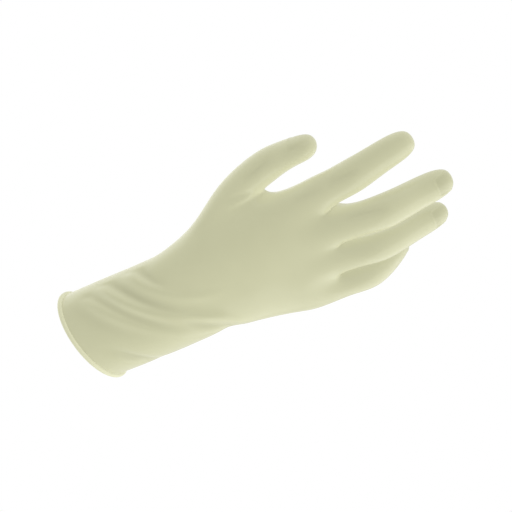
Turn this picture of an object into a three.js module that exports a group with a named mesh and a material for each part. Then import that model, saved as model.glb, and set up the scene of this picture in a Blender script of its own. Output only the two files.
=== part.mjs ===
import * as THREE from 'three';
import { mergeVertices } from 'three/addons/utils/BufferGeometryUtils.js';

// Vinyl exam glove for a right hand, held in the shape of the hand that wears it. Millimetres.
// The origin is the centre of the cuff opening. +X runs along the cuff to the fingertips, +Z points
// to the thumb side, -Y out of the back of the hand and +Y out of the palm.

// Thickness of the film, and the rolled bead at the rim: its radius, how far its centre stands out
// of the film, and the angles of its points from the film's outer face round to the inner one
const WALL = 1.0;
const BEAD_RADIUS = 1.4;
const BEAD_REACH = 0.5;
const BEAD_SETBACK = Math.sqrt(BEAD_RADIUS ** 2 - BEAD_REACH ** 2);
const BEAD_ANGLES = [30, 80, 130, 180, 230, 280];

// Rings of the coarse mesh along X: evenly spaced in the cuff, then at key sections of the hand
const CUFF_START = 2.7;
const CUFF_END = 76;
const CUFF_RINGS = 13;
const HAND_STATIONS = [86, 97, 117, 133, 145];
const THUMB_RING = CUFF_RINGS + 1;

// Sections of the cuff and palm. x, y and z are the centre, width lies along Z and depth along Y.
// power squares the oval. comb moves the lengthwise edges from even angles (0) to the lines of the
// fingers (1). slant and tilt lean the ring forward on the thumb side and on the palm side, and
// roll lowers the thumb side towards the back, in mm per mm. bow curves both sides to the palm.
const SECTION_COLUMNS = ['x', 'y', 'z', 'width', 'depth', 'power', 'comb', 'slant', 'tilt', 'bow', 'roll'];
const SECTIONS = [
  [2.7, 0, -0.8, 58.5, 46, 2, 0, -0.1, -0.11, 0, 0],
  [14, 0, -1.2, 59, 47, 2, 0, -0.3, -0.1, 0, 0],
  [40, 0, -2, 59, 46, 2, 0, -0.5, 0, 0, 0],
  [62, 0, -2.6, 57.5, 44, 2.1, 0.1, -0.5, 0, 0, 0],
  [76, 2, -3.2, 56, 42, 2.2, 0.3, -0.35, 0, 0, 0],
  [86, 6, -4.6, 62.5, 40, 2.3, 0.5, -0.15, 0, 1, 0],
  [97, 8.5, -4, 70, 38, 2.4, 0.7, 0, 0, 1.5, 0.03],
  [117, 11, -8.6, 71, 34, 2.5, 0.9, 0.15, 0, 1.5, 0.07],
  [133, 12.2, -11.3, 74.5, 30, 2.7, 1, 0.3, 0, 1.5, 0.1],
  [145, 12, -13.3, 76, 28, 2.9, 1, 0.37, 0, 1.2, 0.12],
];

// A ring of the cuff or palm has twenty points: the thumb side, nine over the back, the little
// finger side, nine over the palm. Shares of the half width at which they lie, on one face.
const RING_SIZE = 20;
const HALF_RING = RING_SIZE / 2;
const EVEN_SHARES = Array.from({ length: HALF_RING + 1 }, (_, k) => Math.cos((k * Math.PI) / HALF_RING));
const FINGER_SHARES = [1, 0.93, 0.75, 0.5, 0.25, 0, -0.25, -0.5, -0.75, -0.93, -1];

// Digits: centres and widths at the joints from the root to the tip, and the way their thumb side
// faces. That of the thumb faces the palm.
const FINGERS = [
  {
    name: 'index',
    joints: [[150.9, 8.6, 15.2], [193.4, 7.6, 16.2], [211.8, 13.1, 17.1], [231.5, 16.1, 18.1]],
    widths: [20.2, 19.0, 17.2, 15.4],
    radial: [0, 0, 1],
  },
  {
    name: 'middle',
    joints: [[151.0, 8.7, -2.0], [199.4, 3.5, -8.4], [218.0, 14.0, -11.2], [237.6, 22.2, -13.8]],
    widths: [18.4, 19.6, 17.6, 16.2],
    radial: [0, 0, 1],
  },
  {
    name: 'ring',
    joints: [[143.5, 10.1, -17.3], [186.3, 6.2, -27.1], [203.0, 21.8, -31.1], [222.3, 35.0, -34.2]],
    widths: [18.0, 17.0, 16.0, 15.8],
    radial: [0, -0.1, 1],
  },
  {
    name: 'little',
    joints: [[134.1, 13.9, -37.0], [169.5, 16.0, -44.4], [180.5, 31.0, -45.2], [186.5, 47.5, -45.0]],
    widths: [18.0, 15.4, 13.8, 13.2],
    radial: [0, -0.2, 1],
  },
];
const THUMB = {
  name: 'thumb',
  joints: [[92.4, 8.0, 14.8], [128.4, 15.0, 35.8], [155.0, 19.0, 40.4], [183.6, 15.0, 38.6]],
  widths: [26, 21.5, 19.6, 16.0],
  radial: [-0.15, 0.94, 0.27],
};

// Rings along a digit: bone counts from the root, along is the share of that bone, swell scales the
// width, deep is depth over width, and lean tips the pad side of the ring towards the tip
const FINGER_RINGS = [
  { bone: 0, along: 0.5, swell: 1.0, deep: 0.98, lean: 0 },
  { bone: 0, along: 0.68, swell: 0.96, deep: 0.98, lean: 0 },
  { bone: 0, along: 0.88, swell: 1.0, deep: 0.95, lean: 0 },
  { bone: 1, along: 0.1, swell: 1.01, deep: 0.95, lean: 0 },
  { bone: 1, along: 0.55, swell: 0.99, deep: 0.93, lean: 0 },
  { bone: 2, along: 0.05, swell: 1.0, deep: 0.92, lean: 0 },
  { bone: 2, along: 0.58, swell: 1.0, deep: 0.9, lean: 0 },
  { bone: 2, along: 0.9, swell: 0.72, deep: 0.88, lean: 0 },
];
const THUMB_RINGS = [
  { bone: 1, along: 0.0, swell: 1.0, deep: 0.98, lean: 0.6 },
  { bone: 1, along: 0.4, swell: 0.98, deep: 0.95, lean: 0.3 },
  { bone: 1, along: 0.8, swell: 0.98, deep: 0.92, lean: 0 },
  { bone: 2, along: 0.1, swell: 1.0, deep: 0.9, lean: 0 },
  { bone: 2, along: 0.45, swell: 1.06, deep: 0.86, lean: 0 },
  { bone: 2, along: 0.75, swell: 1.0, deep: 0.84, lean: 0 },
  { bone: 2, along: 0.92, swell: 0.7, deep: 0.82, lean: 0 },
];

// The eight points of a digit's ring, as shares of its half depth and half width
const DIAGONAL = Math.SQRT1_2;
const DIGIT_CORNERS = [
  { dorsal: DIAGONAL, radial: DIAGONAL },
  { dorsal: 1, radial: 0 },
  { dorsal: DIAGONAL, radial: -DIAGONAL },
  { dorsal: 0, radial: -1 },
  { dorsal: -DIAGONAL, radial: -DIAGONAL },
  { dorsal: -1, radial: 0 },
  { dorsal: -DIAGONAL, radial: DIAGONAL },
  { dorsal: 0, radial: 1 },
];
const RADIAL_CORNERS = [0, 7, 6];
const ULNAR_CORNERS = [2, 3, 4];

// Smoothing shrinks a ring of eight points to 0.902 of its size and one of twenty to 0.984
const DIGIT_GROWTH = 1 / 0.902;
const RING_GROWTH = 1 / 0.984;

// The three points of a web, from back to palm: ahead is X from the fingers' first rings, and
// height is the share of the fingers' half depth towards the back
const WEB_POINTS = [
  { ahead: -8, height: 0.62 },
  { ahead: -5, height: 0 },
  { ahead: -1, height: -0.8 },
];

// Soft diagonal folds in the cuff, a rise with a hollow beside it. start is X at the angle from,
// slope is X per degree around the cuff up to the angle to, and the angles count from the thumb side
// over the back. height is the rise of the fold and spread its half width along X.
const FOLDS = [
  { start: 20, slope: 0.15, from: 70, to: 170, height: 0.5, spread: 4.5 },
  { start: 21, slope: 0.42, from: 28, to: 150, height: 1.0, spread: 5 },
  { start: 39, slope: 0.46, from: 22, to: 118, height: 1.0, spread: 5.5 },
  { start: 58, slope: 0.4, from: 12, to: 84, height: 0.7, spread: 6 },
];
const HOLLOW_OFFSET = 1.6;
const HOLLOW_SHARE = 0.6;

const FILM = { color: 0xc9c9a8, roughness: 0.42, metalness: 0 };

function average(points) {
  const sum = points.reduce((total, p) => total.add(p), new THREE.Vector3());
  return sum.divideScalar(points.length);
}

// The section at station x, between the two rows of the table that lie on each side of it
function sectionAt(x) {
  const after = Math.max(1, SECTIONS.findIndex((row) => row[0] >= x));
  const [a, b] = [SECTIONS[after - 1], SECTIONS[after]];
  const share = (x - a[0]) / (b[0] - a[0]);
  const values = a.map((value, k) => THREE.MathUtils.lerp(value, b[k], share));
  return Object.fromEntries(SECTION_COLUMNS.map((name, k) => [name, values[k]]));
}

function cuffOrPalmRing(x) {
  const s = sectionAt(x);
  return Array.from({ length: RING_SIZE }, (_, k) => {
    const column = k <= HALF_RING ? k : RING_SIZE - k;
    const face = k <= HALF_RING ? -1 : 1;
    const share = THREE.MathUtils.lerp(EVEN_SHARES[column], FINGER_SHARES[column], s.comb);
    const rise = Math.max(0, 1 - Math.abs(share) ** s.power) ** (1 / s.power);
    const dz = (share * s.width * RING_GROWTH) / 2;
    const dy = (face * rise * s.depth * RING_GROWTH) / 2;
    const lean = s.slant * dz + s.tilt * dy;
    const drop = s.bow * share * share - s.roll * dz;
    return new THREE.Vector3(s.x + lean, s.y + dy + drop, s.z + dz);
  });
}

// Rings of a digit along the smooth line through its joints, and the point of its tip
function digitForm(digit, stations) {
  const joints = digit.joints.map((joint) => new THREE.Vector3(...joint));
  const line = new THREE.CatmullRomCurve3(joints, false, 'centripetal');
  const facing = new THREE.Vector3(...digit.radial);
  const rings = stations.map(({ bone, along, swell, deep, lean }) => {
    const t = (bone + along) / (joints.length - 1);
    const centre = line.getPoint(t);
    const forward = line.getTangent(t);
    const radial = facing.clone().addScaledVector(forward, -facing.dot(forward)).normalize();
    const dorsal = forward.clone().cross(radial);
    const width = swell * THREE.MathUtils.lerp(digit.widths[bone], digit.widths[bone + 1], along);
    const halfWidth = (width * DIGIT_GROWTH) / 2;
    const halfDepth = halfWidth * deep;
    const points = DIGIT_CORNERS.map((corner) =>
      centre
        .clone()
        .addScaledVector(dorsal, corner.dorsal * halfDepth)
        .addScaledVector(radial, corner.radial * halfWidth)
        .addScaledVector(forward, -corner.dorsal * halfDepth * lean),
    );
    return { centre, dorsal, halfDepth, points };
  });
  return { rings, tip: line.getPoint(1) };
}

// A mesh of quads that grows ring by ring
class Cage {
  points = [];
  faces = [];

  addPoint(p) {
    return this.points.push(p) - 1;
  }

  addRing(ring) {
    return ring.map((p) => this.addPoint(p));
  }

  // Joins two rings of equal size, apart from the quads that leave an opening
  bridge(a, b, leaveOut = () => false) {
    a.forEach((_, k) => {
      const next = (k + 1) % a.length;
      if (!leaveOut(k)) this.faces.push([a[k], a[next], b[next], b[k]]);
    });
  }

  // Carries a ring of eight points along a digit and closes its tip with four quads
  growDigit(root, rings, tip) {
    let from = root;
    for (const { points } of rings) {
      const to = this.addRing(points);
      this.bridge(from, to);
      from = to;
    }
    const end = this.addPoint(tip);
    for (const k of [1, 3, 5, 7]) {
      this.faces.push([from[k], from[(k + 1) % 8], from[(k + 2) % 8], end]);
    }
  }
}

// Rings from the cuff to the knuckles, with an opening of two by two quads for the thumb, whose
// middle point is left out
function addCuffAndPalm(cage) {
  const step = (CUFF_END - CUFF_START) / (CUFF_RINGS - 1);
  const cuffStations = Array.from({ length: CUFF_RINGS }, (_, k) => CUFF_START + k * step);
  const rings = [...cuffStations, ...HAND_STATIONS].map((x, row) => {
    const leftOut = row === THUMB_RING + 1 ? 0 : -1;
    return cuffOrPalmRing(x).map((p, k) => (k === leftOut ? null : cage.addPoint(p)));
  });
  for (let row = 0; row < rings.length - 1; row += 1) {
    const atThumb = row === THUMB_RING || row === THUMB_RING + 1;
    cage.bridge(rings[row], rings[row + 1], (k) => atThumb && (k === 0 || k === RING_SIZE - 1));
  }
  return rings;
}

// The web between two fingers: three points that both of their first rings share
function addWeb(cage, radialBase, ulnarBase) {
  const centre = average([radialBase.centre, ulnarBase.centre]);
  const dorsal = average([radialBase.dorsal, ulnarBase.dorsal]).normalize();
  const halfDepth = (radialBase.halfDepth + ulnarBase.halfDepth) / 2;
  return WEB_POINTS.map(({ ahead, height }) => {
    const p = centre.clone().addScaledVector(dorsal, height * halfDepth);
    p.x += ahead;
    return cage.addPoint(p);
  });
}

function addFingers(cage, knuckleRing) {
  const forms = FINGERS.map((finger) => digitForm(finger, FINGER_RINGS));
  const bases = forms.map(({ rings }) => rings[0]);
  const webs = bases.slice(1).map((ulnarBase, k) => addWeb(cage, bases[k], ulnarBase));
  const roots = bases.map((base, finger) =>
    base.points.map((p, corner) => {
      const towardsThumb = RADIAL_CORNERS.indexOf(corner);
      const awayFromThumb = ULNAR_CORNERS.indexOf(corner);
      if (finger > 0 && towardsThumb >= 0) return webs[finger - 1][towardsThumb];
      if (finger < webs.length && awayFromThumb >= 0) return webs[finger][awayFromThumb];
      return cage.addPoint(p);
    }),
  );
  const thumbSide = roots[0][7];
  const back = roots.flatMap((root) => [root[0], root[1]]);
  const littleSide = [roots[3][2], roots[3][3], roots[3][4]];
  const palm = [...roots].reverse().flatMap((root) => [root[5], root[6]]);
  cage.bridge(knuckleRing, [thumbSide, ...back, ...littleSide, ...palm]);
  forms.forEach(({ rings, tip }, k) => cage.growDigit(roots[k], rings.slice(1), tip));
}

function addThumb(cage, rings) {
  const [near, mid, far] = [0, 1, 2].map((k) => rings[THUMB_RING + k]);
  const palmSide = RING_SIZE - 1;
  const root = [near[palmSide], near[0], near[1], mid[1], far[1], far[0], far[palmSide], mid[palmSide]];
  const { rings: thumbRings, tip } = digitForm(THUMB, THUMB_RINGS);
  cage.growDigit(root, thumbRings, tip);
}

function gloveCage() {
  const cage = new Cage();
  const rings = addCuffAndPalm(cage);
  addFingers(cage, rings[rings.length - 1]);
  addThumb(cage, rings);
  return cage;
}

const edgeKey = (a, b) => (a < b ? `${a}_${b}` : `${b}_${a}`);

// Edges of a mesh of quads, each with its ends and the faces beside it
function edgesOf(faces) {
  const edges = new Map();
  faces.forEach((face, f) => {
    face.forEach((a, k) => {
      const b = face[(k + 1) % face.length];
      const key = edgeKey(a, b);
      if (!edges.has(key)) edges.set(key, { ends: [a, b], faces: [] });
      edges.get(key).faces.push(f);
    });
  });
  return edges;
}

// Neighbours of each point: along edges, across faces, and along the open rim
function neighboursOf({ points, faces }) {
  const around = points.map(() => ({ edge: [], across: [], rim: [] }));
  for (const { ends, faces: beside } of edgesOf(faces).values()) {
    const [a, b] = ends;
    around[a].edge.push(points[b]);
    around[b].edge.push(points[a]);
    if (beside.length === 1) {
      around[a].rim.push(points[b]);
      around[b].rim.push(points[a]);
    }
  }
  for (const face of faces) {
    face.forEach((a, k) => around[a].across.push(points[face[(k + 2) % 4]]));
  }
  return around;
}

// Middle of a point of the rim and its two neighbours, with the given weight on the point itself
function rimAverage(p, [a, b], weight) {
  return p.clone().multiplyScalar(weight).add(a).add(b).divideScalar(weight + 2);
}

// One Catmull-Clark step on a mesh of quads
function subdivide(mesh) {
  const { points, faces } = mesh;
  const middles = faces.map((face) => average(face.map((i) => points[i])));
  const edges = edgesOf(faces);
  const around = neighboursOf(mesh);
  const besidePoint = points.map(() => []);
  faces.forEach((face, f) => face.forEach((i) => besidePoint[i].push(middles[f])));
  const moved = points.map((p, i) => {
    const { edge, rim } = around[i];
    if (rim.length === 2) return rimAverage(p, rim, 6);
    const n = edge.length;
    const halfway = average(edge).add(p).divideScalar(2);
    return average(besidePoint[i]).addScaledVector(halfway, 2).addScaledVector(p, n - 3).divideScalar(n);
  });
  const finer = [...moved, ...middles];
  for (const edge of edges.values()) {
    const ends = edge.ends.map((i) => points[i]);
    const beside = edge.faces.length === 2 ? edge.faces.map((f) => middles[f]) : [];
    edge.index = finer.push(average([...ends, ...beside])) - 1;
  }
  const quads = faces.flatMap((face, f) =>
    face.map((a, k) => {
      const ahead = edges.get(edgeKey(a, face[(k + 1) % 4])).index;
      const behind = edges.get(edgeKey(face[(k + 3) % 4], a)).index;
      return [a, ahead, points.length + f, behind];
    }),
  );
  return { points: finer, faces: quads };
}

// Moves each point to where endless subdivision would bring it
function settle(mesh) {
  const around = neighboursOf(mesh);
  const points = mesh.points.map((p, i) => {
    const { edge, across, rim } = around[i];
    if (rim.length === 2) return rimAverage(p, rim, 4);
    const n = edge.length;
    const sum = p.clone().multiplyScalar(n * n);
    edge.forEach((q) => sum.addScaledVector(q, 4));
    across.forEach((q) => sum.add(q));
    return sum.divideScalar(n * (n + 5));
  });
  return { points, faces: mesh.faces };
}

function normalsOf({ points, faces }) {
  const normals = points.map(() => new THREE.Vector3());
  for (const face of faces) {
    const [a, b, c, d] = face.map((i) => points[i]);
    const normal = c.clone().sub(a).cross(d.clone().sub(b));
    face.forEach((i) => normals[i].add(normal));
  }
  return normals.map((n) => n.normalize());
}

// Height of the folds at a point of the film
function foldHeight(p) {
  const angle = THREE.MathUtils.radToDeg(Math.atan2(-p.y, p.z));
  let height = 0;
  for (const fold of FOLDS) {
    const along = (angle - fold.from) / (fold.to - fold.from);
    if (along <= 0 || along >= 1) continue;
    const u = (p.x - fold.start - fold.slope * (angle - fold.from)) / fold.spread;
    const profile = Math.exp(-(u ** 2)) - HOLLOW_SHARE * Math.exp(-((u - HOLLOW_OFFSET) ** 2));
    height += fold.height * Math.sin(Math.PI * along) * profile;
  }
  return height;
}

// Points of the open rim, in the order of the faces beside it
function rimLoop(faces) {
  const next = new Map();
  for (const { ends, faces: beside } of edgesOf(faces).values()) {
    if (beside.length === 1) next.set(ends[0], ends[1]);
  }
  const [first] = next.keys();
  const loop = [first];
  for (let i = next.get(first); i !== first; i = next.get(i)) loop.push(i);
  return loop;
}

// Rows of points of the bead, from the outer face of the film round to the inner one
function beadRows(outer, rim) {
  return BEAD_ANGLES.map((angle) => {
    const turn = THREE.MathUtils.degToRad(angle);
    return rim.map((i) => {
      const outward = new THREE.Vector3(0, outer[i].y, outer[i].z).normalize();
      const p = outer[i].clone().addScaledVector(outward, BEAD_REACH + BEAD_RADIUS * Math.sin(turn));
      p.x += BEAD_RADIUS * Math.cos(turn) - BEAD_SETBACK;
      return p;
    });
  });
}

// Gives the skin its folds and its thickness, and joins outside and inside by the bead
function filmFrom(skin) {
  const normals = normalsOf(skin);
  const outer = skin.points.map((p, i) => p.clone().addScaledVector(normals[i], foldHeight(p)));
  const inner = outer.map((p, i) => p.clone().addScaledVector(normals[i], -WALL));
  const film = new Cage();
  film.addRing(outer);
  film.addRing(inner);
  film.faces.push(...skin.faces);
  film.faces.push(...skin.faces.map((face) => face.map((i) => i + outer.length).reverse()));
  const rim = rimLoop(skin.faces);
  const bead = beadRows(outer, rim).map((row) => film.addRing(row));
  const rows = [rim, ...bead, rim.map((i) => i + outer.length)];
  for (let r = 1; r < rows.length; r += 1) {
    film.bridge([...rows[r - 1]].reverse(), [...rows[r]].reverse());
  }
  return film;
}

// Splits each quad along the diagonal that bends it least
function toGeometry({ points, faces }) {
  const normal = (p, q, r) => q.clone().sub(p).cross(r.clone().sub(p)).normalize();
  const indices = faces.flatMap((face) => {
    const [i, j, k, l] = face;
    const [a, b, c, d] = face.map((corner) => points[corner]);
    const flatAC = normal(a, b, c).dot(normal(a, c, d));
    const flatBD = normal(a, b, d).dot(normal(b, c, d));
    return flatAC > flatBD ? [i, j, k, i, k, l] : [i, j, l, j, k, l];
  });
  const geometry = new THREE.BufferGeometry().setFromPoints(points);
  geometry.setIndex(indices);
  return mergeVertices(geometry, 1e-5);
}

const film = filmFrom(settle(subdivide(gloveCage())));
const glove = new THREE.Mesh(toGeometry(film), new THREE.MeshStandardMaterial(FILM));
glove.name = 'glove';

const group = new THREE.Group();
group.add(glove);

export default group;
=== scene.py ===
"""Vinyl exam glove for a right hand, held in the shape of the hand that wears it.

The film is grown as a coarse mesh in millimetres, ring by ring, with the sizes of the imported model
to within about a millimetre. It is then smoothed, folded and creased, given its inner face and its
rolled bead, imprinted with the nails and turned to metres.
The origin is the centre of the cuff opening. +X runs to the fingertips, +Z points to the thumb
side, -Y out of the back of the hand and +Y out of the palm.
"""

import logging
import math
from dataclasses import astuple, dataclass
from enum import Enum, IntEnum

import bmesh
import bpy
from bmesh.types import BMesh, BMVert
from mathutils import Matrix, Vector
from mathutils.geometry import intersect_point_line


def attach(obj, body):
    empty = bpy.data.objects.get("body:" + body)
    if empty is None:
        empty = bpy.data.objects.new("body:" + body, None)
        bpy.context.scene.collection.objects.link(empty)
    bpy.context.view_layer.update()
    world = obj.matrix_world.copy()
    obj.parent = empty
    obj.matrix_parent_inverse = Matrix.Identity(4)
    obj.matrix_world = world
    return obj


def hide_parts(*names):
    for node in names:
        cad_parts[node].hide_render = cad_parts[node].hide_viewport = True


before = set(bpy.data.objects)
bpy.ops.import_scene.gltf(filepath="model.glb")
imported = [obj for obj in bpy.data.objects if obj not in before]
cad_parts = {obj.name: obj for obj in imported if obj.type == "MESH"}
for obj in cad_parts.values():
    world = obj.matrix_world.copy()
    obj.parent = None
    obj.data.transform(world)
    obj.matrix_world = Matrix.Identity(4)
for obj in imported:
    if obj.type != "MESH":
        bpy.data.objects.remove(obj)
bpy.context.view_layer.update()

log = logging.getLogger("glove")

Place = tuple[float, float, float]
Color = tuple[float, float, float]
Range = tuple[float, float]

MM = 0.001
CAD_NODE = "glove"
BODY = "root"
# Point attribute that sets the painted shade in the hollows of the folds and on the nail plates, by how
# deep each place lies
PAINTED_SHADE_DEPTH = "hollow"

# Smoothing shrinks a ring of eight points to 0.902 of its size and one of twenty to 0.984
DIGIT_GROWTH = 1 / 0.902
RING_GROWTH = 1 / 0.984


class Face(Enum):
    """The two faces of the hand, by the sign of Y on each."""

    BACK = -1
    PALM = 1


class Corner(IntEnum):
    """The eight points of a digit's ring. Radial is the thumb side of it and ulnar the other."""

    BACK_RADIAL = 0
    BACK = 1
    BACK_ULNAR = 2
    ULNAR = 3
    PALM_ULNAR = 4
    PALM = 5
    PALM_RADIAL = 6
    RADIAL = 7


class Skin(Enum):
    """The surfaces of the film, by the material index that each one takes."""

    OUTSIDE = 0
    INSIDE = 1
    BEAD = 2


@dataclass(frozen=True)
class Section:
    """A cross section of the cuff or palm, in millimetres.

    Width lies along Z and depth along Y. Power squares the oval. Comb moves the lengthwise edges
    from even angles (0) to the lines of the fingers (1). Slant and tilt lean the ring forward on
    the thumb side and on the palm side, and roll lowers the thumb side towards the back, in mm per
    mm. Bow curves both sides to the palm.
    """

    x: float
    y: float
    z: float
    width: float
    depth: float
    power: float
    comb: float
    slant: float
    tilt: float
    bow: float
    roll: float


@dataclass(frozen=True)
class Station:
    """A ring along a digit.

    Bone counts from the root and along is the share of that bone. Swell scales the width, deep is
    depth over width, and lean tips the pad side of the ring towards the tip.
    """

    bone: int
    along: float
    swell: float
    deep: float
    lean: float


@dataclass(frozen=True)
class Ring:
    """The points of a digit's ring with its centre, its way to the back and its half depth."""

    centre: Vector
    dorsal: Vector
    half_depth: float
    points: list[Vector]


@dataclass(frozen=True)
class Digit:
    """A finger or thumb: its joints, its widths there and the way that its thumb side faces."""

    name: str
    joints: tuple[Place, ...]
    widths: tuple[float, ...]
    radial: Place
    stations: tuple[Station, ...]

    def cubic(self, t: float) -> tuple[Vector, Vector]:
        """Follows the smooth line through the joints.

        Args:
            t: Share of the bones passed, from 0 at the root to 1 at the tip.

        Returns:
            The point on the line and the direction of the line there.
        """
        joints = [Vector(joint) for joint in self.joints]
        bones = len(joints) - 1
        joints = [2 * joints[0] - joints[1], *joints, 2 * joints[-1] - joints[-2]]
        bone = min(int(t * bones), bones - 1)
        u = t * bones - bone
        p0, p1, p2, p3 = joints[bone : bone + 4]
        before, here, after = (math.sqrt((b - a).length) for a, b in ((p0, p1), (p1, p2), (p2, p3)))
        leave = (p1 - p0) / before - (p2 - p0) / (before + here) + (p2 - p1) / here
        arrive = (p2 - p1) / here - (p3 - p1) / (here + after) + (p3 - p2) / after
        leave *= here
        arrive *= here
        square = 3 * (p2 - p1) - 2 * leave - arrive
        cube = 2 * (p1 - p2) + leave + arrive
        point = p1 + leave * u + square * u**2 + cube * u**3
        return point, (leave + 2 * square * u + 3 * cube * u**2).normalized()

    def axes(self, t: float) -> tuple[Vector, Vector, Vector, Vector]:
        """Gives the local frame of the digit.

        Args:
            t: Share of the bones passed, from 0 at the root to 1 at the tip.

        Returns:
            The centre, and the unit vectors forward, to the thumb side and to the back.
        """
        centre, forward = self.cubic(t)
        facing = Vector(self.radial)
        radial = (facing - forward * facing.dot(forward)).normalized()
        return centre, forward, radial, forward.cross(radial)

    def rings(self) -> list[Ring]:
        """Works out the rings of the digit from its root to its tip."""
        bones = len(self.joints) - 1
        rings = []
        for station in self.stations:
            centre, forward, radial, dorsal = self.axes((station.bone + station.along) / bones)
            near, far = self.widths[station.bone : station.bone + 2]
            width = station.swell * (near + (far - near) * station.along)
            half_width = width * DIGIT_GROWTH / 2
            half_depth = half_width * station.deep
            points = []
            for corner in Corner:
                angle = math.radians((corner + 1) * 360 / len(Corner))
                height = math.sin(angle) * half_depth
                across = math.cos(angle) * half_width
                points.append(centre + dorsal * height + radial * across - forward * height * station.lean)
            rings.append(Ring(centre, dorsal, half_depth, points))
        return rings


SECTIONS = (
    Section(2.7, 0, -0.8, 58.5, 46, 2, 0, -0.1, -0.11, 0, 0),
    Section(14, 0, -1.2, 59, 47, 2, 0, -0.3, -0.1, 0, 0),
    Section(40, 0, -2, 59, 46, 2, 0, -0.5, 0, 0, 0),
    Section(62, 0, -2.6, 57.5, 44, 2.1, 0.1, -0.5, 0, 0, 0),
    Section(76, 2, -3.2, 56, 42, 2.2, 0.3, -0.35, 0, 0, 0),
    Section(86, 6, -4.6, 62.5, 40, 2.3, 0.5, -0.15, 0, 1, 0),
    Section(97, 8.5, -4, 70, 38, 2.4, 0.7, 0, 0, 1.5, 0.03),
    Section(117, 11, -8.6, 71, 34, 2.5, 0.9, 0.15, 0, 1.5, 0.07),
    Section(133, 12.2, -11.3, 74.5, 30, 2.7, 1, 0.3, 0, 1.5, 0.1),
    Section(145, 12, -13.3, 76, 28, 2.9, 1, 0.37, 0, 1.2, 0.12),
)

FINGER_STATIONS = (
    Station(0, 0.5, 1.0, 0.98, 0),
    Station(0, 0.68, 0.96, 0.98, 0),
    Station(0, 0.88, 1.0, 0.95, 0),
    Station(1, 0.1, 1.01, 0.95, 0),
    Station(1, 0.55, 0.99, 0.93, 0),
    Station(2, 0.05, 1.0, 0.92, 0),
    Station(2, 0.58, 1.0, 0.9, 0),
    Station(2, 0.9, 0.72, 0.88, 0),
)
THUMB_STATIONS = (
    Station(1, 0.0, 1.0, 0.98, 0.9),
    Station(1, 0.4, 0.98, 0.95, 0.4),
    Station(1, 0.8, 1.02, 0.92, 0),
    Station(2, 0.1, 0.98, 0.9, 0),
    Station(2, 0.45, 0.95, 0.86, 0),
    Station(2, 0.75, 0.97, 0.84, 0),
    Station(2, 0.92, 0.7, 0.82, 0),
)

INDEX = Digit(
    name="index",
    joints=((150.9, 8.6, 15.2), (193.4, 7.6, 16.2), (211.8, 13.1, 17.1), (231.5, 16.1, 18.1)),
    widths=(20.2, 18.9, 16.8, 14.8),
    radial=(0, 0, 1),
    stations=FINGER_STATIONS,
)
MIDDLE = Digit(
    name="middle",
    joints=((151.0, 8.7, -2.0), (199.4, 3.5, -8.4), (218.0, 14.0, -11.2), (237.6, 22.2, -13.8)),
    widths=(18.4, 19.4, 17.2, 15.5),
    radial=(0, 0, 1),
    stations=FINGER_STATIONS,
)
RING = Digit(
    name="ring",
    joints=((143.5, 10.1, -17.3), (186.3, 6.2, -27.1), (203.0, 21.8, -31.1), (222.3, 35.0, -34.2)),
    widths=(18.0, 16.9, 15.8, 15.1),
    radial=(0, -0.1, 1),
    stations=FINGER_STATIONS,
)
LITTLE = Digit(
    name="little",
    joints=((134.1, 13.9, -37.0), (169.5, 16.0, -44.4), (180.5, 31.0, -45.2), (186.5, 47.5, -45.0)),
    widths=(18.8, 15.8, 13.8, 13.2),
    radial=(0, -0.2, 1),
    stations=FINGER_STATIONS,
)
THUMB = Digit(
    name="thumb",
    joints=((92.4, 8.0, 14.8), (128.4, 15.0, 35.3), (154.2, 18.9, 40.2), (183.6, 15.6, 39.6)),
    widths=(26, 21.5, 19.6, 16.0),
    radial=(-0.15, 0.94, 0.27),
    stations=THUMB_STATIONS,
)


def average(points: list[Vector]) -> Vector:
    """Gives the middle of some points."""
    return sum(points, Vector()) / len(points)


def grow_loop(bm: BMesh, loop: list[BMVert], points: list[Vector]) -> list[BMVert]:
    """Extrudes a closed loop of edges into its next ring.

    Args:
        bm: The mesh.
        loop: Points of the loop, in order.
        points: Where each of them is carried.

    Returns:
        The points of the new loop, in the same order.
    """
    edges = [bm.edges.get((a, b)) for a, b in zip(loop, loop[1:] + loop[:1])]
    made = bmesh.ops.extrude_edge_only(bm, edges=edges)["geom"]
    fresh = {item for item in made if isinstance(item, BMVert)}
    grown = []
    for vert, point in zip(loop, points):
        carried = next(e.other_vert(vert) for e in vert.link_edges if e.other_vert(vert) in fresh)
        carried.co = point
        grown.append(carried)
    return grown


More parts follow.
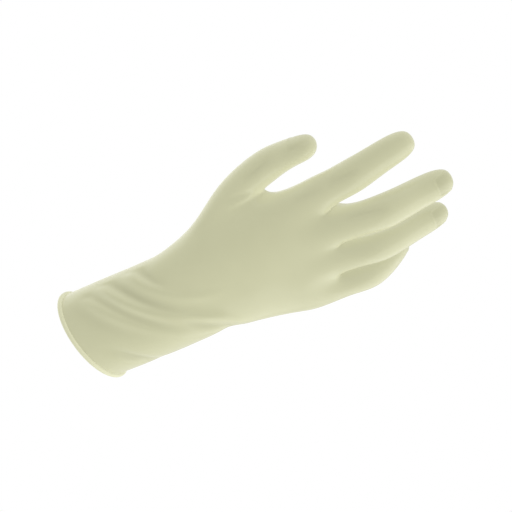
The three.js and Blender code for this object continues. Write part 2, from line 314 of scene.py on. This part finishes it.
@dataclass
class CuffAndPalm:
    """The sleeve of the cuff and the palm, from the rim to the knuckles.

    A ring has twenty points: the thumb side, nine over the back, the little finger side and nine
    over the palm. Finger shares are the shares of the half width at which they lie on one face.
    """

    sections: tuple[Section, ...] = SECTIONS
    cuff_start: float = 2.7
    cuff_end: float = 76
    cuff_rings: int = 13
    hand_stations: tuple[float, ...] = (86, 97, 117, 133, 145)
    ring_size: int = 20
    finger_shares: tuple[float, ...] = (1, 0.93, 0.75, 0.5, 0.25, 0, -0.25, -0.5, -0.75, -0.93, -1)

    def section_at(self, x: float) -> Section:
        """Gives the section at a place along X, between the two rows that lie beside it."""
        ahead = next(k for k, row in enumerate(self.sections) if k > 0 and row.x >= x)
        near, far = self.sections[ahead - 1 : ahead + 1]
        share = (x - near.x) / (far.x - near.x)
        return Section(*(a + (b - a) * share for a, b in zip(astuple(near), astuple(far))))

    def ring_at(self, x: float) -> list[Vector]:
        """Works out the points of the ring at a place along X."""
        section = self.section_at(x)
        half_ring = self.ring_size // 2
        points = []
        for k in range(self.ring_size):
            face = Face.BACK if k <= half_ring else Face.PALM
            column = k if face is Face.BACK else self.ring_size - k
            even = math.cos(column * math.pi / half_ring)
            share = even + (self.finger_shares[column] - even) * section.comb
            rise = max(0.0, 1 - abs(share) ** section.power) ** (1 / section.power)
            dz = share * section.width * RING_GROWTH / 2
            dy = face.value * rise * section.depth * RING_GROWTH / 2
            forward = section.slant * dz + section.tilt * dy
            drop = section.bow * share**2 - section.roll * dz
            points.append(Vector((section.x + forward, section.y + dy + drop, section.z + dz)))
        return points

    def build(self, bm: BMesh) -> list[list[BMVert]]:
        """Extrudes the sleeve from the rim to the knuckles.

        Args:
            bm: The mesh that it goes into.

        Returns:
            The rings of points along it.
        """
        step = (self.cuff_end - self.cuff_start) / (self.cuff_rings - 1)
        stations = [self.cuff_start + k * step for k in range(self.cuff_rings)]
        stations += self.hand_stations
        loop = bmesh.ops.create_circle(bm, segments=self.ring_size, radius=1)["verts"]
        for vert, point in zip(loop, self.ring_at(stations[0])):
            vert.co = point
        rings = [loop]
        for x in stations[1:]:
            rings.append(grow_loop(bm, rings[-1], self.ring_at(x)))
        return rings


@dataclass
class Digits:
    """The fingers, the webs between them and the thumb.

    A web's three points run from the back to the palm: ahead is X from the fingers' first rings,
    and height is the share of the fingers' half depth towards the back.

    The mouth of the sleeve counts from the thumb side over the back, so its point k on the back
    faces its point -k on the palm. Each finger takes a pitch of two points of it.
    """

    fingers: tuple[Digit, ...] = (INDEX, MIDDLE, RING, LITTLE)
    thumb: Digit = THUMB
    thumb_row: int = 14
    web_ahead: tuple[float, ...] = (-8, -5, -1)
    web_height: tuple[float, ...] = (0.62, 0, -0.8)
    first_finger: int = 1
    first_web: int = 3
    pitch: int = 2

    def web_points(self, radial: Ring, ulnar: Ring) -> list[Vector]:
        """Works out the web between two fingers.

        Args:
            radial: First ring of the finger on the thumb side.
            ulnar: First ring of the finger on the other side.

        Returns:
            Its points from the back to the palm.
        """
        centre = average([radial.centre, ulnar.centre])
        dorsal = average([radial.dorsal, ulnar.dorsal]).normalized()
        half_depth = (radial.half_depth + ulnar.half_depth) / 2
        rows = zip(self.web_ahead, self.web_height)
        return [centre + dorsal * height * half_depth + Vector((ahead, 0, 0)) for ahead, height in rows]

    def build_fingers(self, bm: BMesh, knuckles: list[BMVert]) -> None:
        """Opens the sleeve into four loops and grows a finger from each.

        Args:
            bm: The mesh.
            knuckles: The last ring of the palm.
        """
        rings = [finger.rings() for finger in self.fingers]
        bases = [finger_rings[0] for finger_rings in rings]
        webs = [self.web_points(a, b) for a, b in zip(bases, bases[1:])]
        index, little = bases[0].points, bases[-1].points
        back = [index[Corner.RADIAL], index[Corner.BACK_RADIAL], index[Corner.BACK]]
        palm = [index[Corner.PALM_RADIAL], index[Corner.PALM]]
        for web, base in zip(webs, bases[1:]):
            back += [web[0], base.points[Corner.BACK]]
            palm += [web[-1], base.points[Corner.PALM]]
        edge = [little[Corner.BACK_ULNAR], little[Corner.ULNAR], little[Corner.PALM_ULNAR]]
        mouth = grow_loop(bm, knuckles, back + edge + palm[::-1])
        middles = []
        for number, web in enumerate(webs):
            k = self.first_web + self.pitch * number
            bridge = bm.edges.new((mouth[k], mouth[-k]))
            middle = bmesh.utils.edge_split(bridge, bridge.verts[0], 0.5)[1]
            middle.co = web[1]
            middles.append(middle)
        for number, finger_rings in enumerate(rings):
            k = self.first_finger + self.pitch * number
            radial = middles[number - 1] if number else mouth[0]
            if number == len(middles):
                ulnar = mouth[k + 2 : k + 5]
            else:
                ulnar = [mouth[k + 2], middles[number], mouth[-k - 2]]
            root = [mouth[k], mouth[k + 1], *ulnar, mouth[-k - 1], mouth[-k], radial]
            self.grow_digit(bm, root, self.fingers[number], finger_rings[1:])

    def build_thumb(self, bm: BMesh, rings: list[list[BMVert]]) -> None:
        """Takes a point and its four faces out of the palm's side and grows the thumb there.

        Args:
            bm: The mesh.
            rings: The rings of the palm.
        """
        near, mid, far = rings[self.thumb_row : self.thumb_row + 3]
        bmesh.ops.delete(bm, geom=[mid[0]], context="VERTS")
        root = [near[-1], near[0], near[1], mid[1], far[1], far[0], far[-1], mid[-1]]
        self.grow_digit(bm, root, self.thumb, self.thumb.rings())

    def grow_digit(self, bm: BMesh, root: list[BMVert], digit: Digit, rings: list[Ring]) -> None:
        """Carries a loop of eight points along a digit and closes its tip.

        Args:
            bm: The mesh.
            root: The loop that the digit grows from.
            digit: The digit.
            rings: The rings that it passes.
        """
        loop = root
        for ring in rings:
            loop = grow_loop(bm, loop, ring.points)
        cap = bmesh.ops.contextual_create(bm, geom=loop)["faces"]
        tip = bmesh.ops.poke(bm, faces=cap)["verts"][0]
        tip.co = digit.cubic(1)[0]
        spokes = [bm.edges.get((tip, vert)) for vert in loop[::2]]
        bmesh.ops.dissolve_edges(bm, edges=spokes)


@dataclass(frozen=True)
class CuffFold:
    """A diagonal fold of the cuff: a rise with a hollow before it, or a hollow if the rise is below 0.

    Start is X at the angle begin, slope is X per degree around the cuff up to the angle end, and
    the angles count from the thumb side over the back, below 0 on the palm side. Spread is the half
    width of the rise along X. The hollow's offset and width are in spreads and its share in rises.
    Skew below 1 makes the fold highest near its begin.
    """

    start: float
    slope: float
    begin: float
    end: float
    rise: float
    spread: float
    hollow_offset: float = -2.5
    hollow_width: float = 1.2
    hollow_share: float = 0.9
    skew: float = 0.5

    def height(self, point: Vector) -> float:
        """Gives the height of the fold at a point of the film."""
        angle = math.degrees(math.atan2(-point.y, point.z))
        along = (angle - self.begin) / (self.end - self.begin)
        if not 0 < along < 1:
            return 0.0
        u = (point.x - self.start - self.slope * (angle - self.begin)) / self.spread
        rise = math.exp(-(u**2))
        hollow = math.exp(-(((u - self.hollow_offset) / self.hollow_width) ** 2))
        size = self.rise * math.sin(math.pi * along**self.skew) ** 2
        return size * (rise - self.hollow_share * hollow)


# Six on the back and three on the palm side
CUFF_FOLDS = (
    CuffFold(start=19, slope=0.4, begin=20, end=150, rise=2.2, spread=4.6, hollow_share=0.3),
    CuffFold(start=30, slope=0.42, begin=12, end=175, rise=2.3, spread=4.8, hollow_share=0.8),
    CuffFold(start=49, slope=0.4, begin=8, end=150, rise=2.3, spread=4.8, hollow_offset=-2.9),
    CuffFold(start=56.5, slope=0.24, begin=5, end=100, rise=-1.7, spread=5, hollow_share=0),
    CuffFold(start=18, slope=0.23, begin=88, end=178, rise=-1.8, spread=4.8, hollow_share=0, skew=1),
    CuffFold(start=72, slope=0.3, begin=95, end=190, rise=1.8, spread=3.0, hollow_offset=-1.8, skew=1),
    CuffFold(start=78, slope=-0.3, begin=-165, end=-50, rise=1.6, spread=4.4, hollow_share=0.6, skew=1),
    CuffFold(start=60, slope=-0.22, begin=-150, end=-20, rise=1.5, spread=4.6, hollow_share=0.6, skew=1),
    CuffFold(start=40, slope=-0.16, begin=-170, end=-65, rise=1.1, spread=4.6, hollow_share=0.5, skew=1),
)


@dataclass(frozen=True)
class Wrinkle:
    """A straight mark in the film between two places: a ridge, or a hollow if the rise is below 0.

    Spread is its half width, and reach is how many spreads away from its line it ends.
    """

    start: Place
    end: Place
    rise: float
    spread: float
    reach: float = 3

    def height(self, point: Vector) -> float:
        """Gives the height of the mark at a point of the film."""
        start, end = Vector(self.start), Vector(self.end)
        nearest, share = intersect_point_line(point, start, end)
        across = (point - nearest).length / self.spread
        if not 0 < share < 1 or across >= self.reach:
            return 0.0
        return self.rise * math.sin(math.pi * share) * math.exp(-(across**2))


# Two creases of the palm, three at the thumb's web, then two on the index, one on the middle finger
# and two on the thumb
WRINKLES = (
    Wrinkle((88, 25, 10), (132, 27, 4), -0.5, 5.0),
    Wrinkle((104, 26, -34), (142, 27, -2), -0.4, 5.0),
    Wrinkle((122, 3.5, 36.5), (142, 9, 33), -0.6, 1.6),
    Wrinkle((122, 3, 30), (142, 11, 29), -0.5, 1.6),
    Wrinkle((122, 2, 33), (142, 8, 31), 0.5, 1.6),
    Wrinkle((157, -0.2, 20.2), (179, -0.8, 20.1), -0.6, 1.8),
    Wrinkle((181, -0.5, 20.8), (202, 0.9, 20.4), -0.9, 1.6),
    Wrinkle((180, -3.4, 0.1), (207, -3.6, -4.9), -1.0, 1.6),
    Wrinkle((137, 7.5, 41.6), (160, 11, 45), -0.9, 1.6),
    Wrinkle((165, 9.8, 43.6), (182, 12.7, 43.2), -0.45, 1.5),
)


@dataclass(frozen=True)
class NailImprint:
    """A nail that shows through the film on the last bone of a digit.

    Start is the share of that bone at which the nail begins. The ridge runs around its edge, and
    the plate lies below the skin before it, with an edge as steep as plate_edge says. The imprint
    is looked for within its reach and fades out at fade_end, both in lengths of the nail.
    """

    digit: Digit
    start: float
    half_width: float
    length: float
    ridge: float = 0.3
    plate: float = -0.35
    ridge_width: float = 0.45
    corner: float = 1.6
    plate_edge: float = 4
    reach: float = 1.2
    fade_end: float = 1.25

    def field(self) -> "NailField":
        """Prepares the local frame in which the imprint is measured."""
        bones = len(self.digit.joints) - 1
        return NailField(self, *self.digit.axes((bones - 1 + self.start) / bones))


@dataclass(frozen=True)
class NailField:
    """A nail imprint with its local frame."""

    nail: NailImprint
    origin: Vector
    forward: Vector
    radial: Vector
    dorsal: Vector

    def covers(self, point: Vector) -> bool:
        """Tells whether a point of the film lies on the nail or near it."""
        offset = point - self.origin
        return offset.length < self.nail.length * self.nail.reach and offset.dot(self.dorsal) > 0

    def height(self, point: Vector) -> float:
        """Gives the height of the imprint at a point of the film."""
        if not self.covers(point):
            return 0.0
        nail = self.nail
        offset = point - self.origin
        ahead = offset.dot(self.forward)
        beyond_side = abs(offset.dot(self.radial)) - nail.half_width + nail.corner
        before_edge = nail.corner - ahead
        outside = math.hypot(max(beyond_side, 0), max(before_edge, 0))
        distance = outside + min(max(beyond_side, before_edge), 0) - nail.corner
        fade = min(1.0, max(0.0, nail.fade_end - ahead / nail.length))
        ridge = nail.ridge * math.exp(-((distance / nail.ridge_width) ** 2))
        plate = nail.plate / (1 + math.exp(nail.plate_edge * distance / nail.ridge_width))
        return fade * (ridge + plate)


NAILS = (
    NailImprint(MIDDLE, 0.45, 5.4, 11),
    NailImprint(RING, 0.45, 5.2, 11),
    NailImprint(LITTLE, 0.42, 4.4, 9),
    NailImprint(THUMB, 0.5, 6.4, 13, ridge=0.1, plate=-0.15),
)


@dataclass
class Glove:
    """The dipped film of the glove with its rolled bead, in one closed shell.

    Lengths are in millimetres, and the bead's step and turn in degrees. A fold's hollow takes the full
    painted shade colour at the full shade depth, and a nail's plate would at the full nail shade depth.
    """

    name: str = "glove_film"
    wall: float = 0.5
    smoothing: int = 3
    bead_radius: float = 1.4
    bead_reach: float = 0.5
    bead_step: int = 20
    bead_turn: int = 300
    full_shade_depth: float = 2.5
    full_nail_shade_depth: float = 0.8

    def cage(self) -> BMesh:
        """Grows the coarse mesh of the outer face."""
        bm = bmesh.new()
        digits = Digits()
        rings = CuffAndPalm().build(bm)
        digits.build_fingers(bm, rings[-1])
        digits.build_thumb(bm, rings)
        bmesh.ops.recalc_face_normals(bm, faces=bm.faces)
        return bm

    def smooth(self, cage: BMesh) -> BMesh:
        """Subdivides the coarse mesh.

        Args:
            cage: The coarse mesh, which is freed.

        Returns:
            The fine mesh.
        """
        mesh = bpy.data.meshes.new("cage")
        cage.to_mesh(mesh)
        cage.free()
        holder = bpy.data.objects.new("cage", mesh)
        bpy.context.scene.collection.objects.link(holder)
        subdivision = holder.modifiers.new("smooth", "SUBSURF")
        subdivision.levels = self.smoothing
        subdivision.render_levels = self.smoothing
        view = bpy.context.evaluated_depsgraph_get()
        fine = holder.evaluated_get(view).to_mesh()
        bm = bmesh.new()
        bm.from_mesh(fine)
        bpy.data.objects.remove(holder)
        bpy.data.meshes.remove(mesh)
        return bm

    def relief(self, bm: BMesh) -> None:
        """Raises the folds of the cuff, presses in the wrinkles and marks how deep each place lies, which
        sets its painted shade.
        """
        marks = [*CUFF_FOLDS, *WRINKLES]
        depth = bm.verts.layers.float.new(PAINTED_SHADE_DEPTH)
        bm.normal_update()
        moves = [(v, v.normal.copy(), sum(mark.height(v.co) for mark in marks)) for v in bm.verts]
        for vert, normal, height in moves:
            vert.co += normal * height
            # How deep a place lies in a hollow sets how much painted shade it takes
            vert[depth] = min(1.0, max(0.0, -height / self.full_shade_depth))

    def imprint(self, bm: BMesh) -> None:
        """Refines the outer face over each nail, raises the nail's imprint and marks its plate for painted
        shade.
        """
        depth = bm.verts.layers.float[PAINTED_SHADE_DEPTH]
        for nail in (imprint.field() for imprint in NAILS):
            outside = [f for f in bm.faces if f.material_index == Skin.OUTSIDE.value]
            over = [f for f in outside if all(nail.covers(v.co) for v in f.verts)]
            edges = {e for face in over for e in face.edges}
            bmesh.ops.subdivide_edges(bm, edges=list(edges), cuts=1, use_grid_fill=True, smooth=1.0)
            bm.normal_update()
            near = [v for v in bm.verts if nail.covers(v.co)]
            near = [v for v in near if v.link_faces[0].material_index == Skin.OUTSIDE.value]
            moves = [(v, v.normal.copy(), nail.height(v.co)) for v in near]
            for vert, normal, height in moves:
                vert.co += normal * height
                # A nail's sunken plate takes painted shade by how deep it lies
                vert[depth] += max(0.0, -height / self.full_nail_shade_depth)

    def line(self, bm: BMesh) -> list[BMVert]:
        """Gives the film its inner face.

        Args:
            bm: The outer face.

        Returns:
            The points of the inner rim.
        """
        bm.normal_update()
        made = bmesh.ops.duplicate(bm, geom=[*bm.verts, *bm.edges, *bm.faces])
        inner_faces = [item for item in made["geom"] if isinstance(item, bmesh.types.BMFace)]
        inner_verts = [item for item in made["geom"] if isinstance(item, BMVert)]
        shifts = [(v, v.normal * self.wall) for v in inner_verts]
        for vert, shift in shifts:
            vert.co -= shift
        bmesh.ops.reverse_faces(bm, faces=inner_faces)
        for face in inner_faces:
            face.material_index = Skin.INSIDE.value
        return [v for v in inner_verts if v.is_boundary]

    def roll_bead(self, bm: BMesh) -> None:
        """Rolls the rim outwards into the bead and closes it on the inner face."""
        inner_rim = set(self.line(bm))
        outer_edges = [e for e in bm.edges if e.is_boundary and e.verts[0] not in inner_rim]
        inner_edges = [e for e in bm.edges if e.is_boundary and e.verts[0] in inner_rim]
        loop = ordered(outer_edges)
        rim = [v.co.copy() for v in loop]
        outer_faces = set(bm.faces)
        setback = math.sqrt(self.bead_radius**2 - self.bead_reach**2)
        for turn in range(0, self.bead_turn + 1, self.bead_step):
            out = self.bead_reach + self.bead_radius * math.sin(math.radians(turn))
            back = self.bead_radius * math.cos(math.radians(turn)) - setback
            rows = (Vector((0, p.y, p.z)).normalized() * out + Vector((p.x + back, p.y, p.z)) for p in rim)
            loop = grow_loop(bm, loop, list(rows))
        last = [bm.edges.get((a, b)) for a, b in zip(loop, loop[1:] + loop[:1])]
        bmesh.ops.bridge_loops(bm, edges=[*last, *inner_edges])
        for face in set(bm.faces) - outer_faces:
            face.material_index = Skin.BEAD.value

    def build(self) -> bpy.types.Object:
        """Makes the glove and returns its object."""
        bm = self.smooth(self.cage())
        self.relief(bm)
        self.roll_bead(bm)
        self.imprint(bm)
        bmesh.ops.recalc_face_normals(bm, faces=bm.faces)
        bmesh.ops.scale(bm, vec=(MM, MM, MM), verts=bm.verts)
        for face in bm.faces:
            face.smooth = True
        mesh = bpy.data.meshes.new(self.name)
        bm.to_mesh(mesh)
        bm.free()
        glove = bpy.data.objects.new(self.name, mesh)
        bpy.context.scene.collection.objects.link(glove)
        # The thin film lets light through, so it shades neither itself nor its folds
        glove.visible_shadow = False
        glove.visible_diffuse = False
        for finish in (OUTSIDE, INSIDE, BEAD):
            mesh.materials.append(finish.material())
        return glove


def ordered(edges: list[bmesh.types.BMEdge]) -> list[BMVert]:
    """Gives the points of a closed loop of edges in their order along it."""
    waiting = set(edges)
    edge = edges[0]
    loop = [edge.verts[0]]
    while waiting:
        waiting.discard(edge)
        loop.append(edge.other_vert(loop[-1]))
        edge = next((e for e in loop[-1].link_edges if e in waiting), edge)
    return loop[:-1]


@dataclass(frozen=True)
class Grain:
    """A noise texture: its scale per metre, its layers and the strength of the finer ones."""

    scale: float
    detail: float
    roughness: float


class FilmGroup:
    """The shader group that clouds the film, paints shade into its hollows and gives it its grain."""

    NAME = "dipped_film_with_painted_shade"
    CLOUDS = Grain(38, 3, 0.5)
    CRINKLE = Grain(170, 2, 0.45)
    SPECKS = Grain(1600, 2, 0.6)
    CLOUD_RANGE = (0.3, 0.7)
    CRINKLE_RANGE = (0.2, 0.8)
    ROUGHNESS_RANGE = (-0.05, 0.05)
    SPECK_HEIGHT = 0.12

    @classmethod
    def get(cls) -> bpy.types.ShaderNodeTree:
        """Gives the group, and builds it the first time."""
        return bpy.data.node_groups.get(cls.NAME) or cls.build()

    @classmethod
    def build(cls) -> bpy.types.ShaderNodeTree:
        """Builds the group.

        Returns:
            A group with a colour, a roughness and a height that change over the surface.
        """
        tree = bpy.data.node_groups.new(cls.NAME, "ShaderNodeTree")
        given_kinds = (("Thin", "Color"), ("Thick", "Color"), ("Painted Shade", "Color"), ("Roughness", "Float"))
        for name, kind in given_kinds:
            tree.interface.new_socket(name, in_out="INPUT", socket_type=f"NodeSocket{kind}")
        for name, kind in (("Color", "Color"), ("Roughness", "Float"), ("Height", "Float")):
            tree.interface.new_socket(name, in_out="OUTPUT", socket_type=f"NodeSocket{kind}")
        nodes, links = tree.nodes, tree.links
        given = nodes.new("NodeGroupInput")
        result = nodes.new("NodeGroupOutput")
        place = nodes.new("ShaderNodeTexCoord")
        clouds = cls.noise(nodes, cls.CLOUDS)
        crinkle = cls.noise(nodes, cls.CRINKLE)
        specks = cls.noise(nodes, cls.SPECKS)
        for texture in (clouds, crinkle, specks):
            links.new(place.outputs["Object"], texture.inputs["Vector"])
        amount = cls.ranged(nodes, cls.CLOUD_RANGE, (0, 1))
        links.new(clouds.outputs["Fac"], amount.inputs["Value"])
        mix = nodes.new("ShaderNodeMix")
        mix.data_type = "RGBA"
        links.new(amount.outputs["Result"], mix.inputs["Factor"])
        links.new(given.outputs["Thin"], mix.inputs["A"])
        links.new(given.outputs["Thick"], mix.inputs["B"])
        # Painted shade: the hollows and nail plates are mixed towards the shade colour by how deep they
        # lie
        hollow = nodes.new("ShaderNodeAttribute")
        hollow.attribute_name = PAINTED_SHADE_DEPTH
        shade = nodes.new("ShaderNodeMix")
        shade.data_type = "RGBA"
        links.new(hollow.outputs["Fac"], shade.inputs["Factor"])
        links.new(mix.outputs["Result"], shade.inputs["A"])
        links.new(given.outputs["Painted Shade"], shade.inputs["B"])
        links.new(shade.outputs["Result"], result.inputs["Color"])
        dull = cls.ranged(nodes, cls.CRINKLE_RANGE, cls.ROUGHNESS_RANGE)
        links.new(crinkle.outputs["Fac"], dull.inputs["Value"])
        total = nodes.new("ShaderNodeMath")
        total.operation = "ADD"
        links.new(given.outputs["Roughness"], total.inputs[0])
        links.new(dull.outputs["Result"], total.inputs[1])
        links.new(total.outputs["Value"], result.inputs["Roughness"])
        height = nodes.new("ShaderNodeMath")
        height.operation = "MULTIPLY_ADD"
        height.inputs[1].default_value = cls.SPECK_HEIGHT
        links.new(specks.outputs["Fac"], height.inputs[0])
        links.new(crinkle.outputs["Fac"], height.inputs[2])
        links.new(height.outputs["Value"], result.inputs["Height"])
        return tree

    @staticmethod
    def noise(nodes: bpy.types.Nodes, grain: Grain) -> bpy.types.Node:
        """Adds a noise texture with the given grain."""
        node = nodes.new("ShaderNodeTexNoise")
        node.inputs["Scale"].default_value = grain.scale
        node.inputs["Detail"].default_value = grain.detail
        node.inputs["Roughness"].default_value = grain.roughness
        return node

    @staticmethod
    def ranged(nodes: bpy.types.Nodes, given: Range, wanted: Range) -> bpy.types.Node:
        """Adds a node that maps a given range of values to a wanted one."""
        node = nodes.new("ShaderNodeMapRange")
        for name, value in zip(("From Min", "From Max", "To Min", "To Max"), (*given, *wanted)):
            node.inputs[name].default_value = value
        return node


@dataclass(frozen=True)
class FilmFinish:
    """A finish of the vinyl. Colours are linear, deep is the painted shade colour of a hollow, and bump is
    in metres.
    """

    name: str
    thin: Color
    thick: Color
    deep: Color
    roughness: float
    sheen: float
    sheen_roughness: float
    coat: float
    coat_roughness: float = 0.14
    bump: float = 0.00003
    ior: float = 1.5
    sheen_tint: Color = (1.0, 1.0, 0.7)

    def material(self) -> bpy.types.Material:
        """Makes the material of this finish."""
        material = bpy.data.materials.new(self.name)
        material.use_nodes = True
        nodes, links = material.node_tree.nodes, material.node_tree.links
        shader = nodes["Principled BSDF"]
        film = nodes.new("ShaderNodeGroup")
        film.node_tree = FilmGroup.get()
        film.inputs["Thin"].default_value = (*self.thin, 1)
        film.inputs["Thick"].default_value = (*self.thick, 1)
        film.inputs["Painted Shade"].default_value = (*self.deep, 1)
        film.inputs["Roughness"].default_value = self.roughness
        relief = nodes.new("ShaderNodeBump")
        relief.inputs["Strength"].default_value = 1
        relief.inputs["Distance"].default_value = self.bump
        links.new(film.outputs["Color"], shader.inputs["Base Color"])
        links.new(film.outputs["Roughness"], shader.inputs["Roughness"])
        links.new(film.outputs["Height"], relief.inputs["Height"])
        links.new(relief.outputs["Normal"], shader.inputs["Normal"])
        shader.inputs["IOR"].default_value = self.ior
        shader.inputs["Sheen Weight"].default_value = self.sheen
        shader.inputs["Sheen Roughness"].default_value = self.sheen_roughness
        shader.inputs["Sheen Tint"].default_value = (*self.sheen_tint, 1)
        shader.inputs["Coat Weight"].default_value = self.coat
        shader.inputs["Coat Roughness"].default_value = self.coat_roughness
        return material


OUTSIDE = FilmFinish(
    name="vinyl_outside",
    thin=(0.64, 0.64, 0.4),
    thick=(0.665, 0.665, 0.42),
    deep=(0.51, 0.51, 0.31),
    roughness=0.45,
    sheen=0.4,
    sheen_roughness=0.5,
    coat=0.55,
)
# The inner face is painted darker than the outside, as shade for the inside of the glove
INSIDE = FilmFinish(
    name="vinyl_inside_painted_shade",
    thin=(0.54, 0.54, 0.34),
    thick=(0.57, 0.57, 0.36),
    deep=(0.47, 0.47, 0.29),
    roughness=0.6,
    sheen=0.5,
    sheen_roughness=0.4,
    coat=0.3,
    coat_roughness=0.3,
)
BEAD = FilmFinish(
    name="vinyl_bead",
    thin=(0.76, 0.76, 0.505),
    thick=(0.79, 0.79, 0.53),
    deep=(0.7, 0.7, 0.46),
    roughness=0.4,
    sheen=0.5,
    sheen_roughness=0.5,
    coat=0.35,
    bump=0.00002,
)


@dataclass(frozen=True)
class Lamp:
    """A wide soft lamp far off.

    Toward is the way to it in the camera's right, up and back.
    """

    name: str
    toward: Place
    strength: float


LAMPS = (
    Lamp("low_right", (0.7, -0.7, 0), 1.25),
    Lamp("top", (0, 1, 0), 0.45),
    Lamp("far_left", (-0.7, 0, -0.7), 0.7),
)


@dataclass
class Studio:
    """A pale floor well below the glove, even light all round and wide soft lamps.

    The sky shows white, and lights the glove by the fill from all sides.
    """

    floor_z: float = -0.35
    floor_size: float = 12.0
    white: float = 1.0
    fill: float = 0.735
    lamps: tuple[Lamp, ...] = LAMPS
    lamp_angle: float = 90

    def floor(self) -> bpy.types.Object:
        """Makes the floor, which shows white and lets the sky and the low lamps through."""
        bm = bmesh.new()
        bmesh.ops.create_grid(bm, x_segments=1, y_segments=1, size=self.floor_size / 2)
        bmesh.ops.translate(bm, vec=(0, 0, self.floor_z), verts=bm.verts)
        mesh = bpy.data.meshes.new("floor")
        bm.to_mesh(mesh)
        bm.free()
        floor = bpy.data.objects.new("floor", mesh)
        bpy.context.scene.collection.objects.link(floor)
        material = bpy.data.materials.new("pale_floor")
        material.use_nodes = True
        shader = material.node_tree.nodes["Principled BSDF"]
        shader.inputs["Base Color"].default_value = (0, 0, 0, 1)
        shader.inputs["Roughness"].default_value = 1
        shader.inputs["Specular IOR Level"].default_value = 0
        shader.inputs["Emission Color"].default_value = (1, 1, 1, 1)
        shader.inputs["Emission Strength"].default_value = self.white
        mesh.materials.append(material)
        floor.visible_diffuse = False
        floor.visible_glossy = False
        floor.visible_shadow = False
        return floor

    def sky(self) -> None:
        """Lights the scene evenly, and shows white behind it."""
        world = bpy.data.worlds.new("studio")
        bpy.context.scene.world = world
        world.use_nodes = True
        nodes, links = world.node_tree.nodes, world.node_tree.links
        background = nodes["Background"]
        background.inputs["Color"].default_value = (1, 1, 1, 1)
        path = nodes.new("ShaderNodeLightPath")
        strength = nodes.new("ShaderNodeMix")
        strength.inputs["A"].default_value = self.fill
        strength.inputs["B"].default_value = self.white
        links.new(path.outputs["Is Camera Ray"], strength.inputs["Factor"])
        links.new(strength.outputs["Result"], background.inputs["Strength"])

    def hang_lamps(self, camera: bpy.types.Object) -> None:
        """Sets the lamps around the camera's view."""
        turn = camera.matrix_world.to_3x3()
        for lamp in self.lamps:
            data = bpy.data.lights.new(lamp.name, "SUN")
            data.energy = lamp.strength
            data.angle = math.radians(self.lamp_angle)
            holder = bpy.data.objects.new(lamp.name, data)
            holder.rotation_mode = "QUATERNION"
            holder.rotation_quaternion = (turn @ Vector(lamp.toward)).to_track_quat("Z", "Y")
            bpy.context.scene.collection.objects.link(holder)

    def build(self, camera: bpy.types.Object) -> None:
        """Sets up the floor, the light and the way that colours are shown."""
        self.floor()
        self.sky()
        self.hang_lamps(camera)
        bpy.context.scene.view_settings.view_transform = "Standard"


@dataclass
class Camera:
    """The camera at the photograph's angle. Target and axes are in millimetres and row-frame units."""

    target: Place = (114.12, 17.03, -5.58)
    right: Place = (0.8214, 0.2154, -0.5281)
    up: Place = (0.3830, 0.4778, 0.7906)
    back: Place = (0.4226, -0.8517, 0.3100)
    distance: float = 660
    lens: float = 80
    sensor: float = 36

    def build(self) -> bpy.types.Object:
        """Makes the camera and sets it as the scene's."""
        data = bpy.data.cameras.new("camera")
        data.lens = self.lens
        data.sensor_width = self.sensor
        camera = bpy.data.objects.new("camera", data)
        turn = Matrix((self.right, self.up, self.back)).transposed().to_4x4()
        place = (Vector(self.target) + Vector(self.back) * self.distance) * MM
        camera.matrix_world = Matrix.Translation(place) @ turn
        bpy.context.scene.collection.objects.link(camera)
        bpy.context.scene.camera = camera
        return camera


def main() -> None:
    """Builds the camera, the glove and the studio."""
    camera = Camera().build()
    glove = Glove().build()
    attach(glove, BODY)
    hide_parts(CAD_NODE)
    log.info("%s: %d faces", glove.name, len(glove.data.polygons))
    Studio().build(camera)


if __name__ == "__main__":
    logging.basicConfig(level=logging.INFO, format="%(name)s %(message)s")
    main()
